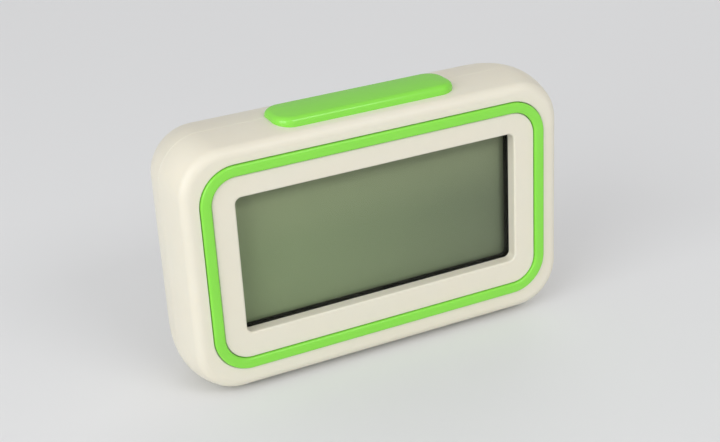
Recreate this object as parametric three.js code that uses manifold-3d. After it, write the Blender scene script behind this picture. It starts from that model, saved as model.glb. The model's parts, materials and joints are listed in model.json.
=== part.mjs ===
// Desktop LCD timer clock: a two-part plastic case with a green accent ring, a long bar button on top,
// a recessed display, and four keys, a slide switch, a speaker grille and a battery door on the back.
//
// Millimetres. +X is to the right of someone facing the display, +Y runs from the display to the back,
// +Z is up. The part's origin is on the floor under the middle of its box. Everything is built in case
// coordinates: x from the middle, y back from the front face, z up from the middle of the case.

import * as THREE from 'three';
import { mergeVertices } from 'three/addons/utils/BufferGeometryUtils.js';
import Module from 'manifold-3d';

const wasm = await Module();
wasm.setup();

// ---------------------------------------------------------------- driving dimensions

const CASE_WIDTH = 112; // at the seam, where the case is widest
const CASE_HEIGHT = 69.5;
const CASE_DEPTH = 30.7;
const SEAM_DEPTH = 12; // the two halves of the case meet here
const CORNER_RADIUS = 11.9;
const FRONT_CROWN = 1.75; // how far the sides have leaned in at the front
const REAR_CROWN = 4.1; // and at the back
const FRONT_FILLET = 2;
const REAR_FILLET = 4;
const WALL = 2;
const GAP = 0.3; // between neighbouring pieces
const STACK_GAP = 0.15; // between flat layers that lie on each other
const RING_GAP = 0.2; // between the accent ring and each wall of its groove

const RING = { width: 99.8, height: 56.8, radius: 10, band: 2.9, z: 0.45, sunk: 1, proud: 0.8 };
const WINDOW = { width: 81.2, height: 37.9, radius: 1.8, z: 1, depth: 3.2, collar: 1.5 };
const DISPLAY = { width: 84.5, height: 42, depth: 6.1, lens: 1, glass: 1, film: 0.25, ledge: 3.2 };
const BAR = { width: 52, depth: 13.6, radius: 5, y: 10.3, proud: 1.9, travel: 1, wall: 1.5, foot: 30.6 };
const FLANGE = { height: 1.1, side: 1.3, rear: 1.2, inset: 2.6 }; // keeps the bar from coming out

// The front half's lip, which goes inside the rear half, and the room it has there.
const LIP = { root: 0.6, reach: 1.2, inset: 1.15, roomReach: 1.5, roomInset: 0.85 };
const BOARD = { width: 100, height: 44, y: 13, thick: 1.6, screwX: 47.3, post: 2.5, pilot: 0.9 };
const SWITCH = { y: 10.9, width: 6.2, bottom: 24.4, top: 28.6, bore: 1.35, plunger: 1.15, rise: 1.45 };
const BAY = { x: 12, z: -13.5, width: 50.6, height: 22.4, floor: 17.4, wall: 1.2 };
const CELL = { radius: 5.1, length: 43.3, nub: 1.2, cap: 1.9, pitch: 10.9 };
const KEY = { radius: 3.5, flange: 0.9, edge: 0.4, proud: 0.8, travel: 0.6, z: 17, pitch: 15, firstX: 30 };
const KEY_SWITCH = { size: 6, height: 3.1, floor: 0.6, bore: 1.6, plunger: 1.4, rise: 0.8 };
const KEY_BOARD = { x: 1, width: 80, height: 11, y: 21.4, thick: 1.6, screwX: [-22.5, 23.5], post: 2.3 };
const SLIDER = { x: 33, travel: 2.4, width: 3.2, height: 2 };
const SPEAKER = { x: -32, z: -12, radius: 12, hole: 0.8, holeSides: 8, holePitch: 3, rings: 2 };
const FOOT = { radius: 3, proud: 0.8, sunk: 0.6, x: 38, frontY: 8.2, rearY: 22.8 };
const CASE_SCREW = {
  x: 44.6, z: 26.1, boss: 2.6, bossReach: 0.9, pilot: 0.8, shank: 0.9, core: 0.6,
  head: 1.7, headHeight: 1.4, seat: 17.5, tip: 8,
};

const CORNER_STEPS = 6; // straight pieces in each quarter of an outline
const FILLET_STEPS = 3;
const ROUND_SIDES = 20; // sides of a cylinder of ordinary size
const SMALL_SIDES = 12;
const LARGE_SIDES = 28;
const PAST = 1; // how far a cutter runs past the face that it cuts

// ---------------------------------------------------------------- finishes

const finish = (color, roughness, metalness = 0, more = {}) =>
  new THREE.MeshStandardMaterial({ color, roughness, metalness, ...more });
const FINISH = {
  cream: () => finish(0xe4e0cd, 0.45),
  green: () => finish(0x84d84a, 0.2),
  clear: () => finish(0xf2f6f4, 0.05, 0, { transparent: true, opacity: 0.25 }),
  black: () => finish(0x17180f, 0.8),
  display: () => finish(0x77836a, 0.3),
  glass: () => finish(0xa9b59a, 0.1, 0, { transparent: true, opacity: 0.5 }),
  silver: () => finish(0xa8ad9c, 0.4, 0.6),
  white: () => finish(0xe9e7df, 0.5),
  board: () => finish(0x2e6b3c, 0.5),
  epoxy: () => finish(0x111214, 0.35),
  steel: () => finish(0xb9bcc0, 0.3, 1),
  key: () => finish(0xdad5c1, 0.5),
  rubber: () => finish(0x9a9890, 0.9),
  cell: () => finish(0x3b4a63, 0.35, 0.3),
  paper: () => finish(0x2b2a28, 0.9),
  wire: () => finish(0xb3282a, 0.5),
};

// ---------------------------------------------------------------- shapes

// Outline of a rectangle with round corners, anticlockwise from the right-hand side.
function roundedOutline(width, height, radius, steps = CORNER_STEPS) {
  const points = [];
  const corners = [[1, 1], [-1, 1], [-1, -1], [1, -1]];
  corners.forEach(([right, up], quarter) => {
    for (let step = 0; step <= steps; step++) {
      const angle = (quarter + step / steps) * (Math.PI / 2);
      points.push(new THREE.Vector2(
        right * (width / 2 - radius) + radius * Math.cos(angle),
        up * (height / 2 - radius) + radius * Math.sin(angle),
      ));
    }
  });
  return points;
}

// An outline drawn in x and z, given thickness from one depth to another.
function slab(outline, fromY, toY, x = 0, z = 0) {
  const geometry = new THREE.ExtrudeGeometry(new THREE.Shape(outline), {
    depth: toY - fromY, bevelEnabled: false, steps: 1,
  });
  return geometry.rotateX(Math.PI / 2).translate(x, toY, z);
}

// An outline drawn in x and y, given thickness from one height to another.
function slabUp(outline, fromZ, toZ, x = 0, y = 0) {
  const geometry = new THREE.ExtrudeGeometry(new THREE.Shape(outline), {
    depth: toZ - fromZ, bevelEnabled: false, steps: 1,
  });
  return geometry.translate(x, y, fromZ);
}

function box(fromX, toX, fromY, toY, fromZ, toZ) {
  return new THREE.BoxGeometry(toX - fromX, toY - fromY, toZ - fromZ)
    .translate((fromX + toX) / 2, (fromY + toY) / 2, (fromZ + toZ) / 2);
}

// A box known by its middle in x and z, and its two depths.
const boxAt = (x, z, width, height, fromY, toY) =>
  box(x - width / 2, x + width / 2, fromY, toY, z - height / 2, z + height / 2);

const rodY = (radius, fromY, toY, x, z, sides = ROUND_SIDES) =>
  new THREE.CylinderGeometry(radius, radius, toY - fromY, sides)
    .translate(x, (fromY + toY) / 2, z);

const rodZ = (radius, fromZ, toZ, x, y, sides = ROUND_SIDES) =>
  new THREE.CylinderGeometry(radius, radius, toZ - fromZ, sides)
    .rotateX(Math.PI / 2).translate(x, y, (fromZ + toZ) / 2);

const rodX = (radius, fromX, toX, y, z, sides = ROUND_SIDES) =>
  new THREE.CylinderGeometry(radius, radius, toX - fromX, sides)
    .rotateZ(Math.PI / 2).translate((fromX + toX) / 2, y, z);

// A turned shape whose axis runs along y: profile points are [radius, depth].
function turnedY(profile, x, z, sides = ROUND_SIDES) {
  const points = profile.map(([radius, depth]) => new THREE.Vector2(radius, depth));
  return new THREE.LatheGeometry(points, sides).translate(x, 0, z);
}

// A wire or flat cable along a smooth curve through the given points.
function tube(points, outline, steps) {
  const path = new THREE.CatmullRomCurve3(points.map((point) => new THREE.Vector3(...point)));
  return new THREE.ExtrudeGeometry(new THREE.Shape(outline), {
    extrudePath: path, steps, bevelEnabled: false,
  });
}

// A round section for a wire.
function wireOutline(radius, sides = 6) {
  const points = [];
  for (let side = 0; side < sides; side++) {
    const angle = (side / sides) * Math.PI * 2;
    points.push(new THREE.Vector2(radius * Math.cos(angle), radius * Math.sin(angle)));
  }
  return points;
}

// A coil spring along z, or along x when turned, whose radius may taper.
class Coil extends THREE.Curve {
  constructor(startRadius, endRadius, length, turns) {
    super();
    Object.assign(this, { startRadius, endRadius, length, turns });
  }

  getPoint(t, target = new THREE.Vector3()) {
    const radius = THREE.MathUtils.lerp(this.startRadius, this.endRadius, t);
    const angle = t * this.turns * Math.PI * 2;
    return target.set(radius * Math.cos(angle), radius * Math.sin(angle), t * this.length);
  }
}

function coil(startRadius, endRadius, length, turns, wire) {
  const stepsPerTurn = 12;
  return new THREE.ExtrudeGeometry(new THREE.Shape(wireOutline(wire, 5)), {
    extrudePath: new Coil(startRadius, endRadius, length, turns),
    steps: turns * stepsPerTurn,
    bevelEnabled: false,
  });
}

// ---------------------------------------------------------------- joining and cutting

function solidOf(shape) {
  if (!shape.isBufferGeometry) return shape;
  const bare = shape.clone();
  bare.deleteAttribute('normal');
  bare.deleteAttribute('uv');
  const merged = mergeVertices(bare, 1e-4);
  return new wasm.Manifold(new wasm.Mesh({
    numProp: 3,
    vertProperties: new Float32Array(merged.attributes.position.array),
    triVerts: new Uint32Array(merged.index.array),
  }));
}

const join = (...shapes) => shapes.map(solidOf).reduce((whole, shape) => whole.add(shape));

const cut = (shape, ...tools) =>
  tools.map(solidOf).reduce((whole, tool) => whole.subtract(tool), solidOf(shape));

function geometryOf(shape) {
  if (shape.isBufferGeometry) return shape;
  const { vertProperties, triVerts } = shape.getMesh();
  const geometry = new THREE.BufferGeometry();
  geometry.setAttribute('position', new THREE.BufferAttribute(vertProperties, 3));
  geometry.setIndex(new THREE.BufferAttribute(triVerts, 1));
  geometry.computeVertexNormals();
  return geometry;
}

// ---------------------------------------------------------------- the case's own form

// How far the case's side has moved in from the widest outline at a given depth, for a surface that
// lies `offset` inside the outer one.
function sideInset(depth, offset) {
  const toFront = Math.max(0, (SEAM_DEPTH - depth) / SEAM_DEPTH);
  const toRear = Math.max(0, (depth - SEAM_DEPTH) / (CASE_DEPTH - SEAM_DEPTH));
  return offset + FRONT_CROWN * toFront ** 2 + REAR_CROWN * toRear ** 2;
}

// The further inset of a rounded edge, a distance `along` in from the end face.
function filletInset(along, radius) {
  if (along >= radius) return 0;
  return radius - Math.sqrt(radius ** 2 - (radius - along) ** 2);
}

function caseOutline(depth, offset) {
  const edge = filletInset(depth - offset, Math.max(0, FRONT_FILLET - offset))
    + filletInset(CASE_DEPTH - offset - depth, Math.max(0, REAR_FILLET - offset));
  const inset = sideInset(depth, offset) + edge;
  return roundedOutline(
    CASE_WIDTH - 2 * inset, CASE_HEIGHT - 2 * inset, CORNER_RADIUS - offset - edge,
  );
}

// Depths at which the case is sliced: close together round the edges, further apart along the sides.
function sliceDepths(from, to, offset) {
  const depths = [from, to];
  for (let step = 0; step <= FILLET_STEPS; step++) {
    const run = 1 - Math.cos((step / FILLET_STEPS) * (Math.PI / 2));
    depths.push(offset + run * Math.max(0, FRONT_FILLET - offset));
    depths.push(CASE_DEPTH - offset - run * Math.max(0, REAR_FILLET - offset));
  }
  for (let depth = FRONT_FILLET + 2.5; depth < CASE_DEPTH - REAR_FILLET; depth += 2.5) {
    depths.push(depth);
  }
  const inside = depths.filter((depth) => depth >= from && depth <= to).sort((a, b) => a - b);
  return inside.filter((depth, index) => index === 0 || depth - inside[index - 1] > 0.05);
}

// The solid inside the case's surface (or a surface `offset` inside it) between two depths.
function caseBlock(from, to, offset = 0) {
  const depths = sliceDepths(from, to, offset);
  const rings = depths.map((depth) => caseOutline(depth, offset));
  const count = rings[0].length;
  const positions = rings.flatMap((ring, slice) =>
    ring.flatMap((point) => [point.x, depths[slice], point.y]));
  const triangles = [];
  const last = (rings.length - 1) * count;
  for (let point = 0; point < count; point++) {
    const next = (point + 1) % count;
    for (let slice = 0; slice < rings.length - 1; slice++) {
      const front = slice * count;
      const back = front + count;
      triangles.push(front + point, back + point, back + next);
      triangles.push(front + point, back + next, front + next);
    }
    if (point > 0 && next > 0) {
      triangles.push(0, point, next);
      triangles.push(last, last + next, last + point);
    }
  }
  const geometry = new THREE.BufferGeometry();
  geometry.setAttribute('position', new THREE.Float32BufferAttribute(positions, 3));
  geometry.setIndex(triangles);
  return geometry;
}

// Height of the case's top surface above its middle at a given depth.
const topHeight = (depth) => CASE_HEIGHT / 2 - sideInset(depth, 0);

// ---------------------------------------------------------------- assembly

const OVERALL_FRONT = -RING.proud;
const OVERALL_REAR = CASE_DEPTH + KEY.proud;

const clock = new THREE.Group();
const unit = new THREE.Group();
unit.position.set(0, -(OVERALL_FRONT + OVERALL_REAR) / 2, CASE_HEIGHT / 2 + FOOT.proud);
clock.add(unit);

function add(name, shape, material) {
  const mesh = new THREE.Mesh(geometryOf(shape), material());
  mesh.name = name;
  unit.add(mesh);
}

const FOUR = [[-1, -1], [1, -1], [-1, 1], [1, 1]]; // left or right, lower or upper
const LEFT_RIGHT = [['left', -1], ['right', 1]];

// The slot in the case's top that the bar button moves in, which crosses the seam.
const barSlot = () => slabUp(
  roundedOutline(BAR.width + 2 * GAP, BAR.depth + 2 * GAP, BAR.radius + GAP),
  BAR.foot - 4, CASE_HEIGHT / 2 + PAST, 0, BAR.y,
);

// The four tapered pads under the case bring its curved underside down to one level, for the feet.
const PAD = { foot: FOOT.radius + 0.8, root: FOOT.radius + 1.8, rise: 3.4 };
const padBlock = (x, y) => new THREE.CylinderGeometry(PAD.root, PAD.foot, PAD.rise, ROUND_SIDES)
  .rotateX(Math.PI / 2).translate(x, y, (PAD.rise - CASE_HEIGHT) / 2);
const footRecess = (x, y) => rodZ(
  FOOT.radius + GAP, -CASE_HEIGHT / 2 - PAST, -CASE_HEIGHT / 2 + FOOT.sunk + STACK_GAP, x, y,
);
const footPlaces = (y) => [[-FOOT.x, y], [FOOT.x, y]];

// ---------------------------------------------------------------- front of the case

const SPRING = {
  x: 18, y: BAR.y - 0.6, radius: 1.9, wire: 0.25, turns: 5, seat: 25.6,
  shelf: 1, shelfReach: 3, shelfPast: 2.4, peg: 1.1, pegHeight: 1.6,
};
const BAR_TOP = topHeight(BAR.y) + BAR.proud;
const BAR_CEILING = BAR_TOP - BAR.wall;

// The window's collar, grown outwards by `more`.
const windowOutline = (more = 0) =>
  roundedOutline(WINDOW.width + 2 * more, WINDOW.height + 2 * more, WINDOW.radius + more);

// The accent ring's outer edge, or its inner edge, moved inwards by `inset`.
const ringOutline = (inset) =>
  roundedOutline(RING.width - 2 * inset, RING.height - 2 * inset, RING.radius - inset);

function ringGroove() {
  return cut(
    slab(ringOutline(-RING_GAP), -PAST, RING.sunk, 0, RING.z),
    slab(ringOutline(RING.band + RING_GAP), -2 * PAST, RING.sunk + PAST, 0, RING.z),
  );
}

function frontShell() {
  let shell = join(
    cut(caseBlock(0, SEAM_DEPTH), caseBlock(WALL, SEAM_DEPTH + PAST, WALL)),
    cut(
      caseBlock(SEAM_DEPTH - LIP.root, SEAM_DEPTH + LIP.reach, LIP.inset),
      caseBlock(SEAM_DEPTH - 2 * PAST, SEAM_DEPTH + 2 * PAST, WALL),
    ),
    slab(windowOutline(WINDOW.collar), WALL / 2, WINDOW.depth, 0, WINDOW.z),
  );
  for (const [right, up] of FOUR) {
    shell = join(shell, rodY(CASE_SCREW.boss, WALL / 2, SEAM_DEPTH + CASE_SCREW.bossReach,
      right * CASE_SCREW.x, up * CASE_SCREW.z));
  }
  for (const [, right] of LEFT_RIGHT) {
    const { y, seat, shelf, shelfReach } = SPRING;
    const x = right * SPRING.x;
    shell = join(
      shell,
      rodY(BOARD.post, WALL / 2, BOARD.y - STACK_GAP, right * BOARD.screwX, 0),
      box(x - shelfReach, x + shelfReach, WALL / 2, y + SPRING.shelfPast, seat - shelf, seat),
      rodZ(SPRING.peg, seat - shelf / 2, seat + SPRING.pegHeight, x, y, SMALL_SIDES),
    );
  }
  for (const [x, y] of footPlaces(FOOT.frontY)) {
    shell = join(shell, padBlock(x, y));
  }
  shell = cut(
    shell,
    slab(windowOutline(), -PAST, WINDOW.depth + PAST, 0, WINDOW.z),
    ringGroove(),
    barSlot(),
  );
  for (const [right, up] of FOUR) {
    shell = cut(shell, rodY(CASE_SCREW.pilot, CASE_SCREW.tip - 3, SEAM_DEPTH + 2 * PAST,
      right * CASE_SCREW.x, up * CASE_SCREW.z, SMALL_SIDES));
  }
  for (const [, right] of LEFT_RIGHT) {
    shell = cut(shell, rodY(BOARD.pilot, BOARD.y / 2, BOARD.y + PAST, right * BOARD.screwX, 0, SMALL_SIDES));
  }
  for (const [x, y] of footPlaces(FOOT.frontY)) {
    shell = cut(shell, footRecess(x, y));
  }
  return shell;
}

// The ring's section: a low crown with rolled edges, standing proud of the face. Each layer starts
// `down` from the crown, is trimmed by `trim` on both edges and runs to the ring's back.
function accentRing() {
  const back = RING.sunk - STACK_GAP;
  const layers = [
    { down: 0, trim: 0.8 },
    { down: 0.15, trim: 0.4 },
    { down: 0.4, trim: 0.12 },
    { down: RING.proud, trim: 0 },
  ];
  return join(...layers.map(({ down, trim }) => cut(
    slab(ringOutline(trim), down - RING.proud, back, 0, RING.z),
    slab(ringOutline(RING.band - trim), down - RING.proud - PAST, back + PAST, 0, RING.z),
  )));
}

// ---------------------------------------------------------------- display

function displayStack() {
  const { width, height, depth, lens, glass, film, ledge } = DISPLAY;
  const tray = 1; // thickness of the frame's wall and of its floor
  const slack = 0.4;
  const strip = { width: width - 8, height: 2, fit: 0.6 };
  const rearHeight = height - ledge; // the front glass runs past the rear one, to carry the contacts
  const rearZ = WINDOW.z + ledge / 2;
  const lensY = WINDOW.depth + STACK_GAP;
  const gasketY = lensY + lens + STACK_GAP;
  const glassY = depth + film + STACK_GAP;
  const rearGlassY = glassY + glass + STACK_GAP;
  const reflectorY = rearGlassY + glass + STACK_GAP;
  const trayY = reflectorY + film + STACK_GAP;
  const boardFace = BOARD.y - STACK_GAP;
  const stripZ = WINDOW.z - height / 2 + ledge / 2;

  add('window_lens', slab(roundedOutline(width + 2, height + 1, 2), lensY, lensY + lens, 0, WINDOW.z),
    FINISH.clear);
  add('lcd_gasket', cut(
    boxAt(0, WINDOW.z, width, height, gasketY, depth - STACK_GAP),
    slab(windowOutline(), gasketY - PAST, depth + PAST, 0, WINDOW.z),
  ), FINISH.black);
  add('lcd_polarizer', boxAt(0, WINDOW.z, width - 1, height - 1, depth, depth + film), FINISH.display);
  add('lcd_front_glass', boxAt(0, WINDOW.z, width, height, glassY, glassY + glass), FINISH.glass);
  add('lcd_rear_glass', boxAt(0, rearZ, width, rearHeight, rearGlassY, rearGlassY + glass), FINISH.glass);
  add('lcd_reflector', boxAt(0, rearZ, width - 1, rearHeight - 1, reflectorY, reflectorY + film),
    FINISH.silver);
  add('zebra_strip', boxAt(0, stripZ, strip.width, strip.height, glassY + glass + STACK_GAP, boardFace),
    FINISH.rubber);
  add('lcd_frame', cut(
    join(
      cut(boxAt(0, WINDOW.z, width + slack + 1.7, height + slack + 1.7, depth, boardFace),
        boxAt(0, WINDOW.z, width + slack, height + slack, depth - PAST, boardFace + PAST)),
      boxAt(0, WINDOW.z, width + 1, height + 1, trayY, trayY + tray),
    ),
    boxAt(0, stripZ, strip.width + strip.fit, strip.height + strip.fit, trayY - PAST, trayY + tray + PAST),
  ), FINISH.white);
}

// ---------------------------------------------------------------- main board

function mainBoard() {
  const rear = BOARD.y + BOARD.thick;
  const tabHalf = 7; // the tab that carries the bar's switch
  const holes = LEFT_RIGHT.map(([, right]) =>
    rodY(BOARD.pilot + 0.4, BOARD.y - PAST, rear + PAST, right * BOARD.screwX, 0, SMALL_SIDES));
  add('main_pcb', cut(join(
    boxAt(0, 0, BOARD.width, BOARD.height, BOARD.y, rear),
    box(-tabHalf, tabHalf, BOARD.y, rear, BOARD.height / 2 - 1, SWITCH.top),
  ), ...holes), FINISH.board);
  const boardScrew = { tip: 8, core: 0.7, head: 1.9, headHeight: 1.2 };
  for (const [side, right] of LEFT_RIGHT) {
    add(`main_pcb_screw_${side}`, screw(right * BOARD.screwX, 0, rear + STACK_GAP, boardScrew), FINISH.steel);
  }

  const face = rear + STACK_GAP;
  const blob = { x: -6, z: 4, profile: [[7, 0], [6.3, 0.6], [4, 1.1], [0, 1.3]] };
  add('controller_blob', turnedY(
    [[0, face], ...blob.profile.map(([radius, height]) => [radius, face + height])], blob.x, blob.z,
  ), FINISH.epoxy);
  const crystal = { radius: 1, fromX: -20, toX: -14, z: 14.5 };
  add('clock_crystal', rodX(crystal.radius, crystal.fromX, crystal.toX, face + crystal.radius, crystal.z,
    SMALL_SIDES), FINISH.steel);
  const capacitor = { radius: 2, fromZ: -18, toZ: -13, x: -42 };
  add('filter_capacitor', rodZ(capacitor.radius, capacitor.fromZ, capacitor.toZ, capacitor.x,
    face + capacitor.radius, SMALL_SIDES), FINISH.epoxy);
}

// A cross-head screw driven from the back: its core runs from the tip to the face that its head sits on.
function screw(x, z, seat, { tip, core, head, headHeight }) {
  const whole = join(
    rodY(core, tip, seat + headHeight / 4, x, z, SMALL_SIDES),
    turnedY([[0, seat], [head, seat], [head, seat + headHeight / 2],
      [head * 0.7, seat + headHeight], [0, seat + headHeight]], x, z, SMALL_SIDES),
  );
  const arm = { length: head * 1.2, width: head * 0.28 };
  const reach = [seat + headHeight / 2, seat + headHeight + PAST];
  return cut(
    whole,
    boxAt(x, z, arm.length, arm.width, ...reach),
    boxAt(x, z, arm.width, arm.length, ...reach),
  );
}

// ---------------------------------------------------------------- top bar button

const barOutline = (inset) =>
  roundedOutline(BAR.width - 2 * inset, BAR.depth - 2 * inset, BAR.radius - inset);

function topBar() {
  const flangeTop = BAR.foot + FLANGE.height;
  const frontEdge = BAR.y - BAR.depth / 2;
  const rearEdge = BAR.y + BAR.depth / 2;
  const crown = [{ down: 0, trim: 0.7 }, { down: 0.2, trim: 0.4 }, { down: 0.5, trim: 0.15 },
    { down: 1, trim: 0 }];
  let bar = cut(
    join(...crown.map(({ down, trim }) => slabUp(barOutline(trim), BAR.foot, BAR_TOP - down, 0, BAR.y))),
    slabUp(barOutline(BAR.wall), BAR.foot - PAST, BAR_CEILING, 0, BAR.y),
  );
  for (const [, right] of LEFT_RIGHT) {
    const skirt = right * (BAR.width / 2 - 1.2);
    const tip = right * (BAR.width / 2 + FLANGE.side);
    bar = join(bar,
      box(Math.min(skirt, tip), Math.max(skirt, tip), frontEdge + FLANGE.inset, rearEdge - FLANGE.inset,
        BAR.foot, flangeTop),
      rodZ(SPRING.peg, BAR_CEILING - 1.8, BAR_CEILING + 0.2, right * SPRING.x, SPRING.y, SMALL_SIDES));
  }
  const straight = BAR.width / 2 - BAR.radius;
  bar = join(bar,
    box(-straight, straight, rearEdge - 0.8, rearEdge + FLANGE.rear, BAR.foot, flangeTop),
    rodZ(1.5, SWITCH.top + SWITCH.rise + STACK_GAP, BAR_CEILING + 0.2, 0, SWITCH.y, SMALL_SIDES));
  add('top_bar', bar, FINISH.green);

  const bottom = SPRING.seat + SPRING.wire + STACK_GAP;
  const top = BAR_CEILING - SPRING.wire - STACK_GAP;
  for (const [side, right] of LEFT_RIGHT) {
    add(`top_bar_spring_${side}`,
      coil(SPRING.radius, SPRING.radius, top - bottom, SPRING.turns, SPRING.wire)
        .translate(right * SPRING.x, SPRING.y, bottom), FINISH.steel);
  }
}

function topSwitch() {
  const { y, width, bottom, top } = SWITCH;
  const well = bottom + 0.8; // the plunger's hole leaves room for its whole travel
  add('top_switch_body', cut(
    box(-width / 2, width / 2, y - 1.9, BOARD.y - STACK_GAP, bottom, top),
    rodZ(SWITCH.bore, well, top + PAST, 0, y, SMALL_SIDES),
  ), FINISH.epoxy);
  add('top_switch_plunger',
    rodZ(SWITCH.plunger, well + BAR.travel + GAP, top + SWITCH.rise, 0, y, SMALL_SIDES), FINISH.white);
}

// ---------------------------------------------------------------- back of the case

const KEYS = ['mode', 'set', 'up', 'down'].map((name, index) => ({
  name, x: -KEY.firstX + index * KEY.pitch,
}));
const DOOR = { width: BAY.width + 1.4, height: BAY.height + 1.4, thick: 1.8 };

// Holes of the speaker grille: one in the middle and rings of six, twelve, ... round it.
function grillePlaces() {
  const places = [[SPEAKER.x, SPEAKER.z]];
  for (let ring = 1; ring <= SPEAKER.rings; ring++) {
    for (let hole = 0; hole < ring * 6; hole++) {
      const angle = (hole / (ring * 6)) * Math.PI * 2;
      const reach = ring * SPEAKER.holePitch;
      places.push([SPEAKER.x + reach * Math.cos(angle), SPEAKER.z + reach * Math.sin(angle)]);
    }
  }
  return places;
}

const HOOK = { x: 15, width: 4, y: CASE_DEPTH - 3.1, thick: 0.9, drop: 1.3, root: 2.2 };

function rearShell() {
  const inner = CASE_DEPTH - WALL;
  const seam = SEAM_DEPTH + GAP;
  const weld = inner + WALL / 4; // posts and walls run this far into the back
  const keyBoardFace = KEY_BOARD.y + KEY_BOARD.thick + STACK_GAP;
  const shell = join(
    cut(
      caseBlock(seam, CASE_DEPTH),
      caseBlock(seam - PAST, inner, WALL),
      caseBlock(seam - PAST, SEAM_DEPTH + LIP.roomReach, LIP.roomInset),
    ),
    boxAt(BAY.x, BAY.z, BAY.width + 2 * BAY.wall, BAY.height + 2 * BAY.wall, BAY.floor - 1, weld),
    ...FOUR.map(([right, up]) => rodY(CASE_SCREW.boss, seam + CASE_SCREW.bossReach, weld,
      right * CASE_SCREW.x, up * CASE_SCREW.z)),
    ...KEY_BOARD.screwX.map((x) => rodY(KEY_BOARD.post, keyBoardFace, weld, x, KEY.z)),
    ...footPlaces(FOOT.rearY).map(([x, y]) => padBlock(x, y)),
  );
  const outside = CASE_DEPTH + PAST;
  return cut(
    shell,
    barSlot(),
    boxAt(BAY.x, BAY.z, BAY.width, BAY.height, BAY.floor, outside),
    boxAt(BAY.x, BAY.z, DOOR.width + 2 * GAP, DOOR.height + 2 * GAP, inner, outside),
    ...LEFT_RIGHT.map(([, right]) => boxAt(BAY.x + right * HOOK.x, BAY.z - BAY.height / 2 - HOOK.thick,
      HOOK.width + 2 * GAP, 2 * HOOK.root, inner - WALL, inner)),
    ...KEYS.map(({ x }) => rodY(KEY.radius + GAP, inner - PAST, outside, x, KEY.z)),
    boxAt(SLIDER.x, KEY.z, SLIDER.width + SLIDER.travel + 2 * GAP, SLIDER.height + 2 * GAP,
      inner - PAST, outside),
    ...grillePlaces().map(([x, z]) =>
      rodY(SPEAKER.hole, inner - PAST, outside, x, z, SPEAKER.holeSides)),
    ...FOUR.flatMap(([right, up]) => {
      const x = right * CASE_SCREW.x;
      const z = up * CASE_SCREW.z;
      return [rodY(CASE_SCREW.shank + GAP, SEAM_DEPTH, CASE_SCREW.seat + PAST, x, z, SMALL_SIDES),
        rodY(CASE_SCREW.head + GAP, CASE_SCREW.seat, outside, x, z)];
    }),
    ...KEY_BOARD.screwX.map((x) =>
      rodY(CASE_SCREW.pilot, KEY_BOARD.y, inner - WALL, x, KEY.z, SMALL_SIDES)),
    ...footPlaces(FOOT.rearY).map(([x, y]) => footRecess(x, y)),
  );
}

// ---------------------------------------------------------------- keys, slide switch and their board

const KEY_BOARD_REAR = KEY_BOARD.y + KEY_BOARD.thick;

function keyBoard() {
  const boardScrew = { tip: -5.4, core: 0.6, head: 1.7, headHeight: 1.1 };
  const holes = KEY_BOARD.screwX.map((x) =>
    rodY(boardScrew.core + 0.5, KEY_BOARD.y - PAST, KEY_BOARD_REAR + PAST, x, KEY.z, SMALL_SIDES));
  add('key_pcb', cut(
    boxAt(KEY_BOARD.x, KEY.z, KEY_BOARD.width, KEY_BOARD.height, KEY_BOARD.y, KEY_BOARD_REAR), ...holes,
  ), FINISH.board);
  KEY_BOARD.screwX.forEach((x, index) => {
    // Driven from the front, so it is made at the origin and turned end for end.
    const turned = geometryOf(screw(0, 0, 0, boardScrew)).rotateZ(Math.PI)
      .translate(x, KEY_BOARD.y - STACK_GAP, KEY.z);
    add(`key_pcb_screw_${LEFT_RIGHT[index][0]}`, turned, FINISH.steel);
  });
}

function rearKeys() {
  const { radius, flange, edge, travel, z } = KEY;
  const foot = KEY_BOARD_REAR + STACK_GAP;
  const top = foot + KEY_SWITCH.height;
  const plungerTop = top + KEY_SWITCH.rise;
  const keyFoot = plungerTop + STACK_GAP;
  const flangeTop = CASE_DEPTH - WALL - GAP;
  const face = CASE_DEPTH + KEY.proud;
  for (const { name, x } of KEYS) {
    add(`${name}_switch_body`, cut(
      boxAt(x, z, KEY_SWITCH.size, KEY_SWITCH.size, foot, top),
      rodY(KEY_SWITCH.bore, foot + KEY_SWITCH.floor, top + PAST, x, z, SMALL_SIDES),
    ), FINISH.epoxy);
    add(`${name}_switch_plunger`,
      rodY(KEY_SWITCH.plunger, foot + KEY_SWITCH.floor + travel + GAP, plungerTop, x, z, SMALL_SIDES),
      FINISH.white);
    add(`${name}_key`, turnedY([
      [0, keyFoot], [radius + flange, keyFoot], [radius + flange, flangeTop],
      [radius, flangeTop], [radius, face - edge], [radius - edge, face], [0, face],
    ], x, z), FINISH.key);
  }
}

function slideSwitch() {
  const foot = KEY_BOARD_REAR + STACK_GAP;
  const body = { height: 3.6, width: 4.4, wall: 0.8, floor: 1 };
  const ridge = 1;
  const knobX = SLIDER.x - SLIDER.travel / 2;
  const channel = SLIDER.width + SLIDER.travel + 2 * GAP;
  add('slide_switch_body', cut(
    boxAt(SLIDER.x, KEY.z, channel + 2 * body.wall, body.width, foot, foot + body.height),
    boxAt(SLIDER.x, KEY.z, channel, SLIDER.height + 2 * GAP, foot + body.floor, foot + body.height + PAST),
  ), FINISH.steel);
  add('slide_switch_knob', join(
    boxAt(knobX, KEY.z, SLIDER.width, SLIDER.height, foot + body.floor + GAP, CASE_DEPTH + GAP),
    boxAt(knobX, KEY.z, ridge, SLIDER.height, CASE_DEPTH, CASE_DEPTH + KEY.proud),
  ), FINISH.black);
}

// ---------------------------------------------------------------- cables

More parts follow.
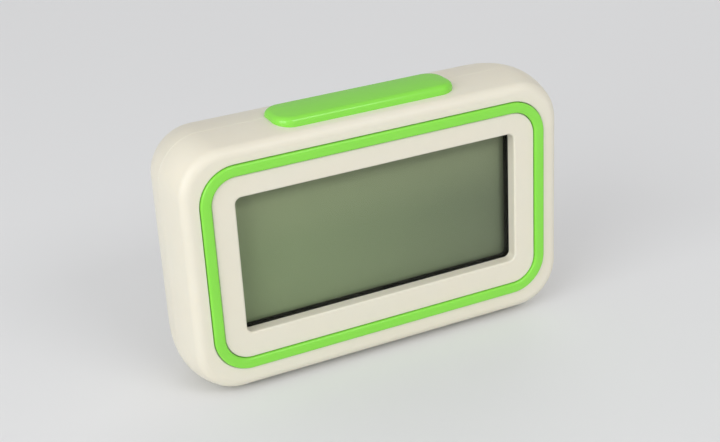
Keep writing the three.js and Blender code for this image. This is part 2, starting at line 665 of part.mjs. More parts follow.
// A flat cable that bows down between the two boards, as a half ring in y and z.
function ribbonCable() {
  const ribbon = { width: 10, thick: 0.7, x: 12, steps: 10 };
  const from = BOARD.y + BOARD.thick + STACK_GAP;
  const to = KEY_BOARD.y - STACK_GAP;
  const drop = (to - from) / 2;
  const bow = (halfSpan, depth) => Array.from({ length: ribbon.steps + 1 }, (_, step) => {
    const angle = Math.PI * (1 + step / ribbon.steps);
    return new THREE.Vector2(halfSpan * Math.cos(angle), depth * Math.sin(angle));
  });
  const outline = [...bow(drop, drop + ribbon.thick), ...bow(drop - ribbon.thick, drop).reverse()];
  const band = new THREE.ExtrudeGeometry(new THREE.Shape(outline), {
    depth: ribbon.width, bevelEnabled: false,
  });
  band.rotateX(Math.PI / 2).rotateZ(Math.PI / 2)
    .translate(ribbon.x - ribbon.width / 2, (from + to) / 2, KEY.z - 2);
  add('ribbon_cable', band, FINISH.white);
}

// Wires from the battery contacts and the speaker to the main board.
function leads() {
  const radius = 0.6;
  const steps = 14;
  const end = BOARD.y + BOARD.thick + 1;
  const bayLeft = BAY.x - BAY.width / 2 - BAY.wall;
  add('battery_leads', tube([
    [bayLeft - 0.9, 22, -8], [bayLeft - 1.2, 20, -5], [bayLeft - 1.4, 17.5, -2], [bayLeft - 1.6, end, -1],
  ], wireOutline(radius), steps), FINISH.wire);
  add('speaker_leads', tube([
    [SPEAKER.x, 22.4, 0.6], [SPEAKER.x + 0.5, 20, 2.4], [SPEAKER.x + 1, 17, 3.2], [SPEAKER.x + 1, end, 3.2],
  ], wireOutline(radius), steps), FINISH.wire);
}

// ---------------------------------------------------------------- speaker

function speaker() {
  const face = CASE_DEPTH - WALL - GAP;
  const { x, z, radius } = SPEAKER;
  const rod = (size, depth, height) => rodY(size, face - depth, face - depth + height, x, z, LARGE_SIDES);
  const can = { radius: radius - 2, depth: 4, floor: 0.8, bore: 4.6 };
  const rim = { height: 1.2, width: 1.2, floor: 0.3 };
  add('speaker_frame', cut(
    join(rod(radius, rim.height, rim.height), rod(can.radius, can.depth, can.depth - rim.height / 2)),
    rod(radius - rim.width, rim.height - rim.floor, rim.height + PAST),
    rod(can.radius - 1, can.depth - can.floor, can.depth + PAST),
    rod(can.bore, can.depth + PAST, can.depth + PAST),
  ), FINISH.steel);
  const magnet = { radius: 7, pole: 4.2, depth: 5.6, height: 1.4, poleHeight: 3 };
  add('speaker_magnet', join(
    rod(magnet.radius, magnet.depth, magnet.height), rod(magnet.pole, magnet.depth, magnet.poleHeight),
  ), FINISH.epoxy);
  const cone = { dome: 3, fold: 8, rim: radius - 1.5 };
  add('speaker_cone', turnedY([
    [0, face - 1.9], [cone.dome, face - 2.1], [cone.fold, face - 0.75], [cone.rim, face - 0.75],
    [cone.rim, face - 0.3], [cone.fold, face - 0.35], [cone.dome, face - 1.6], [0, face - 1.3],
  ], x, z, LARGE_SIDES), FINISH.paper);
}

// ---------------------------------------------------------------- batteries

const CELL_Y = BAY.floor + CELL.radius + 0.35;
const CELL_WHOLE = CELL.length + CELL.nub;
const UPPER_CELL_Z = BAY.z + CELL.pitch / 2;
const LOWER_CELL_Z = BAY.z - CELL.pitch / 2;

function batteryCells() {
  const profile = [[0, 0], [CELL.radius, 0], [CELL.radius, CELL.length], [CELL.cap, CELL.length],
    [CELL.cap, CELL_WHOLE], [0, CELL_WHOLE]];
  const points = profile.map(([radius, along]) => new THREE.Vector2(radius, along));
  const cell = () => new THREE.LatheGeometry(points, LARGE_SIDES).translate(0, -CELL_WHOLE / 2, 0);
  add('battery_cell_upper', cell().rotateZ(Math.PI / 2).translate(BAY.x, CELL_Y, UPPER_CELL_Z), FINISH.cell);
  add('battery_cell_lower', cell().rotateZ(-Math.PI / 2).translate(BAY.x, CELL_Y, LOWER_CELL_Z),
    FINISH.cell);
}

// A plate on the left with a stud, one with a spring, and a plate on the right that joins both cells.
function batteryContacts() {
  const plate = { thick: 0.4, half: 4.2, gap: 0.2 };
  const spring = { wide: 3.6, narrow: 1.8, turns: 3, wire: 0.3 };
  const stud = 1.6;
  const weld = 0.1;
  const leftFace = BAY.x - BAY.width / 2 + plate.gap + plate.thick - weld;
  const rightFace = BAY.x + BAY.width / 2 - plate.gap - plate.thick + weld;
  const cellEnd = CELL_WHOLE / 2 + STACK_GAP;
  const root = spring.wire - weld / 2;
  const reach = BAY.width / 2 - plate.gap - plate.thick - cellEnd + weld - spring.wire;
  const plateAt = (face, outwards, lowZ, highZ) => {
    const far = face + outwards * (plate.thick - weld);
    const near = face - outwards * weld;
    return box(Math.min(far, near), Math.max(far, near), CELL_Y - plate.half, CELL_Y + plate.half,
      lowZ - plate.half, highZ + plate.half);
  };
  const contactSpring = () =>
    coil(spring.wide, spring.narrow, reach, spring.turns, spring.wire).rotateY(Math.PI / 2);
  add('battery_contact_positive', join(
    plateAt(leftFace, -1, UPPER_CELL_Z, UPPER_CELL_Z),
    rodX(stud, leftFace, BAY.x - cellEnd, CELL_Y, UPPER_CELL_Z, SMALL_SIDES),
  ), FINISH.steel);
  add('battery_contact_negative', join(
    plateAt(leftFace, -1, LOWER_CELL_Z, LOWER_CELL_Z),
    contactSpring().translate(leftFace + root, CELL_Y, LOWER_CELL_Z),
  ), FINISH.steel);
  add('battery_contact_bridge', join(
    plateAt(rightFace, 1, LOWER_CELL_Z, UPPER_CELL_Z),
    rodX(stud, BAY.x + cellEnd, rightFace, CELL_Y, LOWER_CELL_Z, SMALL_SIDES),
    contactSpring().rotateZ(Math.PI).translate(rightFace - root, CELL_Y, UPPER_CELL_Z),
  ), FINISH.steel);
}

function batteryDoor() {
  const inner = CASE_DEPTH - DOOR.thick;
  const bottom = BAY.z - DOOR.height / 2;
  const hooks = LEFT_RIGHT.map(([, right]) => {
    const left = BAY.x + right * HOOK.x - HOOK.width / 2;
    return join(
      box(left, left + HOOK.width, HOOK.y, inner + GAP, bottom + HOOK.root - 1.2, bottom + HOOK.root),
      box(left, left + HOOK.width, HOOK.y, HOOK.y + HOOK.thick, bottom - HOOK.drop, bottom + HOOK.root),
    );
  });
  const grip = { width: 12, groove: 0.6, depth: 0.5, pitch: 1.6, grooves: 3, down: 3.2 };
  const grooves = Array.from({ length: grip.grooves }, (_, index) => boxAt(
    BAY.x, BAY.z + DOOR.height / 2 - grip.down - index * grip.pitch, grip.width, grip.groove,
    CASE_DEPTH - grip.depth, CASE_DEPTH + PAST,
  ));
  return cut(
    join(boxAt(BAY.x, BAY.z, DOOR.width, DOOR.height, inner, CASE_DEPTH), ...hooks),
    ...grooves,
  );
}

// ---------------------------------------------------------------- feet and case screws

function feet() {
  const places = [...footPlaces(FOOT.frontY), ...footPlaces(FOOT.rearY)];
  places.forEach(([x, y], index) => {
    const bottom = -CASE_HEIGHT / 2 - FOOT.proud;
    add(`foot_${index + 1}`, rodZ(FOOT.radius, bottom, -CASE_HEIGHT / 2 + FOOT.sunk, x, y), FINISH.rubber);
  });
}

function caseScrews() {
  FOUR.forEach(([right, up], index) => {
    const { x, z, seat } = CASE_SCREW;
    add(`case_screw_${index + 1}`, screw(right * x, up * z, seat + STACK_GAP, CASE_SCREW), FINISH.steel);
  });
}

// ---------------------------------------------------------------- the whole clock

add('front_shell', frontShell(), FINISH.cream);
add('accent_ring', accentRing(), FINISH.green);
displayStack();
mainBoard();
topBar();
topSwitch();
add('rear_shell', rearShell(), FINISH.cream);
keyBoard();
rearKeys();
slideSwitch();
ribbonCable();
leads();
speaker();
batteryCells();
batteryContacts();
add('battery_door', batteryDoor(), FINISH.cream);
feet();
caseScrews();

export default clock;
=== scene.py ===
# Looks of a small desktop LCD timer clock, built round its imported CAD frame.
#
# Everything is placed in case coordinates, in millimetres: x from the middle of the case, y back from
# its front face, z up from the middle of the case. at() turns them into the frame's metres.

import json
import math

import bmesh
import bpy
from mathutils import Euler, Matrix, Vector


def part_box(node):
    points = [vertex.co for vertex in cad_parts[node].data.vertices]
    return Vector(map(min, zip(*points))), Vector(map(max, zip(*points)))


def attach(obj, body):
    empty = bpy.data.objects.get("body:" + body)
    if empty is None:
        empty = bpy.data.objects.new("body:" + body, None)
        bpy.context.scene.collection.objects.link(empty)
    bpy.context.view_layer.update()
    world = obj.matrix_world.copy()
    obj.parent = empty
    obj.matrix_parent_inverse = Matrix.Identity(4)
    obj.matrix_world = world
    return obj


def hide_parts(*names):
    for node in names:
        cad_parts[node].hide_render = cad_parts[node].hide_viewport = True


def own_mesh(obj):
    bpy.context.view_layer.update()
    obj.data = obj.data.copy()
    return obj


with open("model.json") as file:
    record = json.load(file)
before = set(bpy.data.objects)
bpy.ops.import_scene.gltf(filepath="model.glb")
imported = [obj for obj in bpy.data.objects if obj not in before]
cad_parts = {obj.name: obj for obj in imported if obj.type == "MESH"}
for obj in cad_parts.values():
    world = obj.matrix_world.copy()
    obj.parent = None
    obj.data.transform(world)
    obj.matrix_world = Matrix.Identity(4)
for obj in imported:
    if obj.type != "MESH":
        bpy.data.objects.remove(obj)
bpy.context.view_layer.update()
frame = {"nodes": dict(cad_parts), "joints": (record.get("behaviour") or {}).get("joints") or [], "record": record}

# ---------------------------------------------------------------- sizes, from the frame

MM = 0.001
FRONT_LOW, FRONT_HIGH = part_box("front_shell")
REAR_LOW, REAR_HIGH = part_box("rear_shell")
FACE_Y = FRONT_LOW.y
MIDDLE_Z = (FRONT_LOW.z + FRONT_HIGH.z) / 2


def at(x, y, z):
    """A place in case coordinates as a point of the frame."""
    return Vector((x * MM, FACE_Y + y * MM, MIDDLE_Z + z * MM))


def span(node):
    """Lowest and highest corner of a CAD node, in case coordinates."""
    low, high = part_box(node)
    shift = Vector((0, FACE_Y, MIDDLE_Z))
    return (low - shift) / MM, (high - shift) / MM


def middle(node):
    """Middle of a CAD node's box, in case coordinates."""
    low, high = span(node)
    return (low + high) / 2


def travel(joint):
    """How far a sliding joint goes, in millimetres."""
    return next(found for found in frame["joints"] if found["name"] == joint)["range_m"][1] / MM


CASE_WIDTH = (FRONT_HIGH.x - FRONT_LOW.x) / MM
CASE_HEIGHT = (FRONT_HIGH.z - FRONT_LOW.z) / MM
CASE_DEPTH = (REAR_HIGH.y - FACE_Y) / MM
SEAM_SHIFT = 0.15  # from the middle of the seam back to where the rear half starts
SEAM_DEPTH = (REAR_LOW.y - FACE_Y) / MM - SEAM_SHIFT
CORNER_RADIUS = 11.9
FRONT_CROWN = 1.75
REAR_CROWN = 4.1
FRONT_FILLET = 2.0
REAR_FILLET = 4.0
WALL = 2.0

SEAM_LINE = 0.05  # what shows of the gap between the two halves
SEAM_EDGE = 0.07  # and how far each half's edge is broken there
LIP = 0.3  # rounding of the edge of each opening
CLEAR = 0.15  # running gap round the moving pieces, as it shows
MARGIN = 0.15  # a narrow flat row beside an edge, which keeps the shading next to it clean
PAST = 0.3  # how far a cutter runs out past the surface
BACK_INNER = CASE_DEPTH - WALL  # depth of the inside face of the back
SMOOTH_BELOW = math.radians(32)  # a fold sharper than this stays a true edge

CORNER_STEPS = 14
EDGE_STEPS = 6
ROUND_SIDES = 48


# ---------------------------------------------------------------- outlines and lofts


def quarter(steps=EDGE_STEPS):
    """Angles from 0 to 90 degrees."""
    return [math.pi / 2 * step / steps for step in range(steps + 1)]


def rounded_outline(width, height, radius, steps=CORNER_STEPS):
    """Rectangle with round corners, anticlockwise from its right-hand side."""
    points = []
    for turn, (right, up) in enumerate(((1, 1), (-1, 1), (-1, -1), (1, -1))):
        for step in range(steps + 1):
            angle = (turn + step / steps) * math.pi / 2
            points.append((right * (width / 2 - radius) + radius * math.cos(angle),
                           up * (height / 2 - radius) + radius * math.sin(angle)))
    return points


def circle(radius, sides=ROUND_SIDES):
    return [(radius * math.cos(math.tau * side / sides), radius * math.sin(math.tau * side / sides))
            for side in range(sides)]


def standing(outline, depth, x=0.0, z=0.0):
    """An outline drawn in x and z, at one depth."""
    return [(x + across, depth, z + up) for across, up in outline]


def lying(outline, height, x=0.0, y=0.0):
    """An outline drawn in x and y, at one height."""
    return [(x + across, y + along, height) for across, along in outline]


def side_inset(depth, offset=0.0):
    """How far the case's side has moved in from its widest, on a surface `offset` inside the outer one."""
    to_front = max(0.0, (SEAM_DEPTH - depth) / SEAM_DEPTH)
    to_rear = max(0.0, (depth - SEAM_DEPTH) / (CASE_DEPTH - SEAM_DEPTH))
    return offset + FRONT_CROWN * to_front ** 2 + REAR_CROWN * to_rear ** 2


def edge_inset(along, radius):
    """The further inset of a rounded edge, `along` in from its end face."""
    if along >= radius:
        return 0.0
    return radius - math.sqrt(max(0.0, radius ** 2 - (radius - along) ** 2))


def case_size(depth, offset=0.0):
    """Width, height and corner radius of the case at a depth."""
    edge = edge_inset(depth - offset, max(0.0, FRONT_FILLET - offset))
    edge += edge_inset(CASE_DEPTH - offset - depth, max(0.0, REAR_FILLET - offset))
    inset = side_inset(depth, offset) + edge
    return CASE_WIDTH - 2 * inset, CASE_HEIGHT - 2 * inset, CORNER_RADIUS - offset - edge


def case_loop(depth, offset=0.0, trim=0.0):
    width, height, radius = case_size(depth, offset)
    return standing(rounded_outline(width - 2 * trim, height - 2 * trim, radius - trim), depth)


def top_height(depth):
    """Height of the case's top surface at a depth."""
    return case_size(depth)[1] / 2


def between(start, end, count):
    return [start + (end - start) * step / count for step in range(count + 1)]


def new_piece(name, points, faces):
    mesh = bpy.data.meshes.new(name)
    mesh.from_pydata([at(*point) for point in points], [], faces)
    mesh.validate()
    piece = bpy.data.objects.new(name, mesh)
    bpy.context.scene.collection.objects.link(piece)
    face_out(mesh)
    return piece


def face_out(mesh):
    """Turns every face of a closed mesh outwards."""
    work = bmesh.new()
    work.from_mesh(mesh)
    bmesh.ops.recalc_face_normals(work, faces=work.faces)
    work.to_mesh(mesh)
    work.free()


def loft(name, loops, ring=False):
    """Skin over a row of loops with the same number of points. A ring joins the last to the first."""
    count = len(loops[0])
    points = [point for loop in loops for point in loop]
    faces = []
    for row in range(len(loops) if ring else len(loops) - 1):
        here = row * count
        there = (row + 1) % len(loops) * count
        for step in range(count):
            following = (step + 1) % count
            faces.append((here + step, here + following, there + following, there + step))
    if not ring:
        faces.append(tuple(range(count)))
        faces.append(tuple(range(len(points) - count, len(points))))
    return new_piece(name, points, faces)


def turned(name, profile, x, z, sides=ROUND_SIDES):
    """A round piece whose axis runs front to back: profile is (radius, depth)."""
    return loft(name, [standing(circle(radius, sides), depth, x, z) for radius, depth in profile])


def upright(name, profile, x, y):
    """A round piece whose axis is vertical: profile is (radius, height)."""
    return loft(name, [lying(circle(radius), height, x, y) for radius, height in profile])


def block(name, low, high):
    """A plain block, for cutting and joining."""
    (x0, y0, z0), (x1, y1, z1) = low, high
    loops = [[(x0, y, z0), (x1, y, z0), (x1, y, z1), (x0, y, z1)] for y in (y0, y1)]
    return loft(name, loops)


# ---------------------------------------------------------------- cutting, joining, shading


def baked(piece):
    """Applies a piece's modifiers."""
    graph = bpy.context.evaluated_depsgraph_get()
    mesh = bpy.data.meshes.new_from_object(piece.evaluated_get(graph))
    piece.modifiers.clear()
    piece.data = mesh


def combine(piece, tools, operation):
    for tool in tools:
        modifier = piece.modifiers.new(operation.lower(), "BOOLEAN")
        modifier.operation = operation
        modifier.object = tool
        modifier.solver = "EXACT"
        baked(piece)
        bpy.data.objects.remove(tool)
    return piece


def carve(piece, *tools):
    return combine(piece, tools, "DIFFERENCE")


def weld_on(piece, *tools):
    return combine(piece, tools, "UNION")


def as_one(name, pieces):
    """Several separate pieces as one mesh."""
    points, faces = [], []
    for piece in pieces:
        start = len(points)
        points += [vertex.co.copy() for vertex in piece.data.vertices]
        faces += [tuple(start + index for index in face.vertices) for face in piece.data.polygons]
        bpy.data.objects.remove(piece)
    mesh = bpy.data.meshes.new(name)
    mesh.from_pydata(points, [], faces)
    joined = bpy.data.objects.new(name, mesh)
    bpy.context.scene.collection.objects.link(joined)
    return joined


def smooth(piece):
    """Smooth shading with true edges kept, and flat faces kept flat."""
    piece.data.shade_smooth()
    piece.data.set_sharp_from_angle(angle=SMOOTH_BELOW)
    weighted = piece.modifiers.new("weighted_normals", "WEIGHTED_NORMAL")
    weighted.keep_sharp = True
    weighted.weight = 100


def finished(piece, body, slot, replaced):
    """Gives a piece its material, its body and the CAD nodes that it stands for."""
    smooth(piece)
    piece.data.materials.clear()
    piece.data.materials.append(MATERIALS[slot])
    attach(piece, body)
    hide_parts(*replaced)
    return piece


LIP_END = math.radians(70)  # the rounding stops short of flat, so that it crosses the surface cleanly


def lip_profile(lip=LIP):
    """(outward, back from the surface) pairs of an opening's rounded edge, from its wall outwards."""
    steps = [LIP_END * step / EDGE_STEPS for step in range(EDGE_STEPS + 1)]
    pairs = [(lip * (1 - math.cos(angle)), lip * (1 - math.sin(angle))) for angle in steps]
    outward, back = pairs[-1]
    pairs.append((outward + (back + PAST) * math.tan(LIP_END), -PAST))
    return pairs


def rear_opening(name, outline_at, start, x, z, lip=LIP):
    """Cutter for an opening through the back. outline_at(offset) is the opening's outline, `offset` out."""
    loops = [standing(outline_at(0.0), start, x, z)]
    for outward, back in lip_profile(lip):
        loops.append(standing(outline_at(outward), CASE_DEPTH - back, x, z))
    return loft(name, loops)


# ---------------------------------------------------------------- materials

PAINTED_EDGE_SHADE = 2.8  # width of the painted shadow line round the film's edges, most of it behind the gasket
FILM_LOW, FILM_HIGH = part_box("lcd_polarizer")


def linear(value):
    value /= 255
    return value / 12.92 if value <= 0.04045 else ((value + 0.055) / 1.055) ** 2.4


def colour(red, green, blue):
    return (linear(red), linear(green), linear(blue), 1.0)


class Finish:
    """A Principled material that starts plain and is given its grain, tone and wear."""

    def __init__(self, name, base, roughness, **constants):
        self.material = bpy.data.materials.new(name)
        self.material.use_nodes = True
        self.nodes = self.material.node_tree.nodes
        self.links = self.material.node_tree.links
        self.shader = next(node for node in self.nodes if node.type == "BSDF_PRINCIPLED")
        self.base = base
        self.shader.inputs["Base Color"].default_value = base
        self.shader.inputs["Roughness"].default_value = roughness
        for socket, value in constants.items():
            self.shader.inputs[socket.replace("_", " ")].default_value = value
        self.place = self.nodes.new("ShaderNodeTexCoord").outputs["Object"]

    def node(self, kind, **inputs):
        made = self.nodes.new(kind)
        for socket, value in inputs.items():
            self.set_input(made, socket.replace("_", " "), value)
        return made

    def set_input(self, node, socket, value):
        if isinstance(value, bpy.types.NodeSocket):
            self.links.new(value, node.inputs[socket])
        else:
            node.inputs[socket].default_value = value

    def stretched(self, x, y, z):
        return self.node("ShaderNodeMapping", Vector=self.place, Scale=(x, y, z)).outputs["Vector"]

    def noise(self, size, detail, place=None):
        """Noise whose features are about `size` millimetres across."""
        made = self.node("ShaderNodeTexNoise", Vector=place or self.place, Scale=1 / (size * MM),
                         Detail=detail)
        return made.outputs["Fac"]

    def ranged(self, value, low, high, start=0.3, end=0.7):
        made = self.node("ShaderNodeMapRange", Value=value, From_Min=start, From_Max=end,
                         To_Min=low, To_Max=high)
        return made.outputs["Result"]

    def mixed(self, share, first, second):
        made = self.nodes.new("ShaderNodeMix")
        made.data_type = "RGBA"
        colours = [socket for socket in made.inputs if socket.type == "RGBA"]
        for socket, value in zip([made.inputs[0], *colours], (share, first, second)):
            if isinstance(value, bpy.types.NodeSocket):
                self.links.new(value, socket)
            else:
                socket.default_value = value
        return next(socket for socket in made.outputs if socket.type == "RGBA")

    def tone(self, share, other, first=None):
        """Colour that drifts between the base and another one."""
        result = self.mixed(share, first or self.base, other)
        self.links.new(result, self.shader.inputs["Base Color"])
        return result

    def roughness(self, value):
        self.links.new(value, self.shader.inputs["Roughness"])

    def bump(self, height, depth):
        """Surface relief of about `depth` millimetres."""
        made = self.node("ShaderNodeBump", Height=height, Strength=1.0, Distance=depth * MM)
        self.links.new(made.outputs["Normal"], self.shader.inputs["Normal"])


def cream_case():
    base = colour(229, 225, 209)
    plastic = Finish("cream_case", base, 0.42, Subsurface_Weight=0.12, Subsurface_Scale=0.6 * MM,
                     Coat_Weight=0.12, Coat_Roughness=0.3)
    plastic.shader.inputs["Subsurface Radius"].default_value = (1.0, 0.85, 0.6)
    cloud = plastic.noise(26, 2)
    warm = plastic.tone(plastic.ranged(cloud, 0, 0.35), colour(231, 222, 203))
    plastic.tone(plastic.ranged(plastic.noise(4, 4), 0, 0.10, 0.45, 0.75), colour(216, 214, 199), warm)
    grain = plastic.noise(0.22, 4)
    plastic.roughness(plastic.ranged(plastic.noise(7, 4), 0.38, 0.5))
    plastic.bump(grain, 0.012)
    return plastic.material


def green_gloss():
    base = colour(133, 221, 68)
    plastic = Finish("green_gloss", base, 0.2, Subsurface_Weight=0.1, Subsurface_Scale=0.5 * MM,
                     Coat_Weight=0.1, Coat_Roughness=0.08)
    plastic.shader.inputs["Subsurface Radius"].default_value = (0.6, 1.0, 0.3)
    plastic.tone(plastic.ranged(plastic.noise(18, 2), 0, 0.4), colour(142, 228, 78))
    scratches = plastic.noise(1.0, 2, plastic.stretched(0.15, 2.0, 2.0))
    plastic.roughness(plastic.ranged(scratches, 0.14, 0.26, 0.45, 0.8))
    plastic.bump(plastic.noise(3.0, 2), 0.01)
    return plastic.material


def key_plastic():
    base = colour(219, 214, 196)
    plastic = Finish("key_plastic", base, 0.5)
    plastic.tone(plastic.ranged(plastic.noise(3, 3), 0, 0.3), colour(206, 201, 184))
    plastic.roughness(plastic.ranged(plastic.noise(1.2, 3), 0.42, 0.58))
    plastic.bump(plastic.noise(0.18, 3), 0.014)
    return plastic.material


def white_plastic():
    plastic = Finish("white_plastic", colour(232, 229, 220), 0.5)
    plastic.tone(plastic.ranged(plastic.noise(5, 3), 0, 0.4), colour(219, 216, 205))
    plastic.bump(plastic.noise(0.3, 3), 0.01)
    return plastic.material


def knob_plastic():
    plastic = Finish("knob_plastic", colour(38, 38, 38), 0.45)
    plastic.tone(plastic.ranged(plastic.noise(1.5, 3), 0, 0.5), colour(58, 57, 55))
    plastic.bump(plastic.noise(0.15, 3), 0.01)
    return plastic.material


def black_gasket():
    foam = Finish("black_gasket", colour(9, 10, 5), 0.95, Specular_IOR_Level=0.2)
    cells = foam.node("ShaderNodeTexVoronoi", Vector=foam.place, Scale=1 / (0.25 * MM)).outputs["Distance"]
    foam.tone(foam.ranged(cells, 0, 0.6), colour(18, 19, 11))
    foam.bump(cells, 0.03)
    return foam.material


def display_film():
    """Grey-green film with painted shade that darkens it towards the right, painted light that makes it paler at
    the top, and a soft painted shadow line round its edges.
    """
    base = colour(130, 145, 108)
    film = Finish("display_film", base, 0.34, Specular_IOR_Level=0.1)
    place = film.nodes.new("ShaderNodeSeparateXYZ")
    film.links.new(film.place, place.inputs[0])
    across, up = place.outputs["X"], place.outputs["Z"]
    low, high = FILM_LOW, FILM_HIGH
    # painted shade: the film darkens from left to right, standing in for how the light falls across it
    painted_shade_right = film.tone(film.ranged(across, 0, 1, low.x, high.x), colour(103, 112, 90))
    # painted light: the upper half of the film turns paler, as if more light reached it there
    painted_light_top = film.tone(film.ranged(up, 0, 0.6, (low.z + high.z) / 2, high.z), colour(150, 158, 124), painted_shade_right)
    streaks = film.noise(0.5, 3, film.stretched(0.04, 1.0, 1.0))
    film_tone = film.tone(film.ranged(streaks, 0, 0.12), colour(104, 117, 88), painted_light_top)
    # painted shadow: a soft dark band round the film's edges, where the bezel's shade falls
    shade_width = PAINTED_EDGE_SHADE * MM
    sides = []
    for along, start, end in ((across, low.x, high.x), (up, low.z, high.z)):
        sides.append(film.ranged(along, 1, 0, start, start + shade_width))
        sides.append(film.ranged(along, 0, 1, end - shade_width, end))
    shade_of = sides[0]
    for side in sides[1:]:
        larger = film.nodes.new("ShaderNodeMath")
        larger.operation = "MAXIMUM"
        film.links.new(shade_of, larger.inputs[0])
        film.links.new(side, larger.inputs[1])
        shade_of = larger.outputs[0]
    # the dark colour of the painted edge shadow
    film.tone(shade_of, colour(20, 23, 11), film_tone)
    film.roughness(film.ranged(film.noise(3, 3), 0.3, 0.38))
    return film.material


def reflector_foil():
    foil = Finish("reflector_foil", colour(176, 180, 166), 0.35, Metallic=0.8)
    brushed = foil.noise(0.5, 4, foil.stretched(0.03, 1.0, 1.0))
    foil.tone(foil.ranged(brushed, 0, 0.5), colour(150, 154, 140))
    foil.roughness(foil.ranged(brushed, 0.28, 0.5))
    return foil.material


def clear_pane(name, tint, roughness):
    """Thin clear sheet that lets the lamps through to what is behind it."""
    pane = Finish(name, tint, roughness, Transmission_Weight=1.0, IOR=1.2)
    pane.roughness(pane.ranged(pane.noise(9, 4), roughness, roughness + 0.05, 0.5, 0.8))
    path = pane.nodes.new("ShaderNodeLightPath")
    through = pane.node("ShaderNodeBsdfTransparent", Color=tint)
    mix = pane.nodes.new("ShaderNodeMixShader")
    output = next(node for node in pane.nodes if node.type == "OUTPUT_MATERIAL")
    pane.links.new(path.outputs["Is Shadow Ray"], mix.inputs[0])
    pane.links.new(pane.shader.outputs[0], mix.inputs[1])
    pane.links.new(through.outputs[0], mix.inputs[2])
    pane.links.new(mix.outputs[0], output.inputs["Surface"])
    return pane.material


def clear_window():
    return clear_pane("clear_window", (0.97, 0.98, 0.97, 1.0), 0.02)


def display_glass():
    return clear_pane("display_glass", (0.9, 0.93, 0.88, 1.0), 0.01)


def zebra_rubber():
    rubber = Finish("zebra_rubber", colour(196, 150, 136), 0.7)
    bands = rubber.node("ShaderNodeTexWave", Vector=rubber.place, Scale=1 / (1.1 * MM)).outputs["Fac"]
    rubber.tone(rubber.ranged(bands, 0, 1, 0.45, 0.55), colour(40, 38, 38))
    rubber.bump(rubber.noise(0.3, 2), 0.01)
    return rubber.material


def circuit_board():
    board = Finish("circuit_board", colour(38, 98, 56), 0.35, Coat_Weight=0.3, Coat_Roughness=0.15)
    tracks = board.node("ShaderNodeTexBrick", Vector=board.place, Scale=1 / (3 * MM))
    tracks.inputs["Mortar Size"].default_value = 0.09
    board.tone(tracks.outputs["Fac"], colour(74, 136, 82))
    board.bump(tracks.outputs["Fac"], 0.03)
    return board.material


def black_epoxy():
    epoxy = Finish("black_epoxy", colour(26, 26, 28), 0.32)
    epoxy.tone(epoxy.ranged(epoxy.noise(1.5, 3), 0, 0.5), colour(44, 44, 46))
    epoxy.roughness(epoxy.ranged(epoxy.noise(0.7, 3), 0.25, 0.45))
    epoxy.bump(epoxy.noise(0.3, 3), 0.01)
    return epoxy.material


def bright_steel():
    steel = Finish("bright_steel", colour(196, 197, 198), 0.25, Metallic=1.0)
    steel.tone(steel.ranged(steel.noise(0.9, 4), 0, 0.6), colour(168, 167, 163))
    steel.roughness(steel.ranged(steel.noise(0.4, 4), 0.2, 0.42))
    steel.bump(steel.noise(0.15, 3), 0.004)
    return steel.material


def foot_rubber():
    rubber = Finish("foot_rubber", colour(150, 149, 140), 0.85)
    rubber.tone(rubber.ranged(rubber.noise(1.2, 4), 0, 0.5), colour(128, 127, 119))
    rubber.bump(rubber.noise(0.25, 4), 0.03)
    return rubber.material


def cell_sleeve():
    sleeve = Finish("cell_sleeve", colour(52, 74, 116), 0.3, Coat_Weight=0.5, Coat_Roughness=0.12)
    sleeve.tone(sleeve.ranged(sleeve.noise(9, 2), 0, 0.5), colour(40, 58, 96))
    sleeve.roughness(sleeve.ranged(sleeve.noise(2, 4), 0.22, 0.4))
    sleeve.bump(sleeve.noise(1.6, 3, sleeve.stretched(0.3, 1, 1)), 0.03)
    return sleeve.material


def cone_paper():
    paper = Finish("cone_paper", colour(48, 46, 45), 0.95)
    fibres = paper.noise(0.3, 6)
    paper.tone(paper.ranged(fibres, 0, 0.6), colour(74, 71, 68))
    paper.bump(fibres, 0.06)
    return paper.material


def wire_insulation():
    sleeve = Finish("wire_insulation", colour(176, 42, 40), 0.45)
    sleeve.tone(sleeve.ranged(sleeve.noise(1.0, 3), 0, 0.5), colour(150, 34, 34))
    sleeve.bump(sleeve.noise(0.3, 2), 0.01)
    return sleeve.material


MATERIALS = {make.__name__: make() for make in (
    cream_case, green_gloss, clear_window, black_gasket, display_film, display_glass, reflector_foil,
    white_plastic, zebra_rubber, circuit_board, black_epoxy, bright_steel, key_plastic, knob_plastic,
    foot_rubber, cell_sleeve, cone_paper, wire_insulation)}


def dress_frame():
    """Every CAD node that stays in view takes its slot's material."""
    for part in frame["record"]["subparts"]:
        mesh = frame["nodes"][part["node"]].data
        mesh.materials.clear()
        mesh.materials.append(MATERIALS[part["material_slot"]])


# ---------------------------------------------------------------- case


GROOVE_SLACK = 0.2  # the groove round the accent ring is this much wider on each side
GROOVE_LIP = 0.1
RING_LOW, RING_HIGH = span("accent_ring")
RING_BAND = 2.9
RING_RADIUS = 10.0
RING_MIDDLE = (RING_LOW.z + RING_HIGH.z) / 2
GROOVE_DEPTH = 1.0

LENS_LOW, LENS_HIGH = span("window_lens")
WINDOW_WIDTH = LENS_HIGH.x - LENS_LOW.x - 5.3  # the lens runs on behind the edge of the window
WINDOW_HEIGHT = LENS_HIGH.z - LENS_LOW.z - 5.1
WINDOW_RADIUS = 1.8
WINDOW_LIP = 0.5
WINDOW_MIDDLE = (LENS_LOW.z + LENS_HIGH.z) / 2
COLLAR_DEPTH = LENS_LOW.y - 0.1
COLLAR_WALL = 1.5


SEAM_START = 0.6  # the side's loops begin this far from the seam
TONGUE_REACH, TONGUE_INSET = 1.1, 1.2  # the front half's tongue, which enters the rear half
REBATE_REACH, REBATE_INSET = 1.3, 1.05  # and the rebate that takes it


def into_wall(loop_at, lip):
    """Loops of a rounded edge from the front face into a wall. loop_at(spread, depth) draws each."""
    return [loop_at(lip * (1 - math.sin(angle)), lip * (1 - math.cos(angle))) for angle in quarter()]


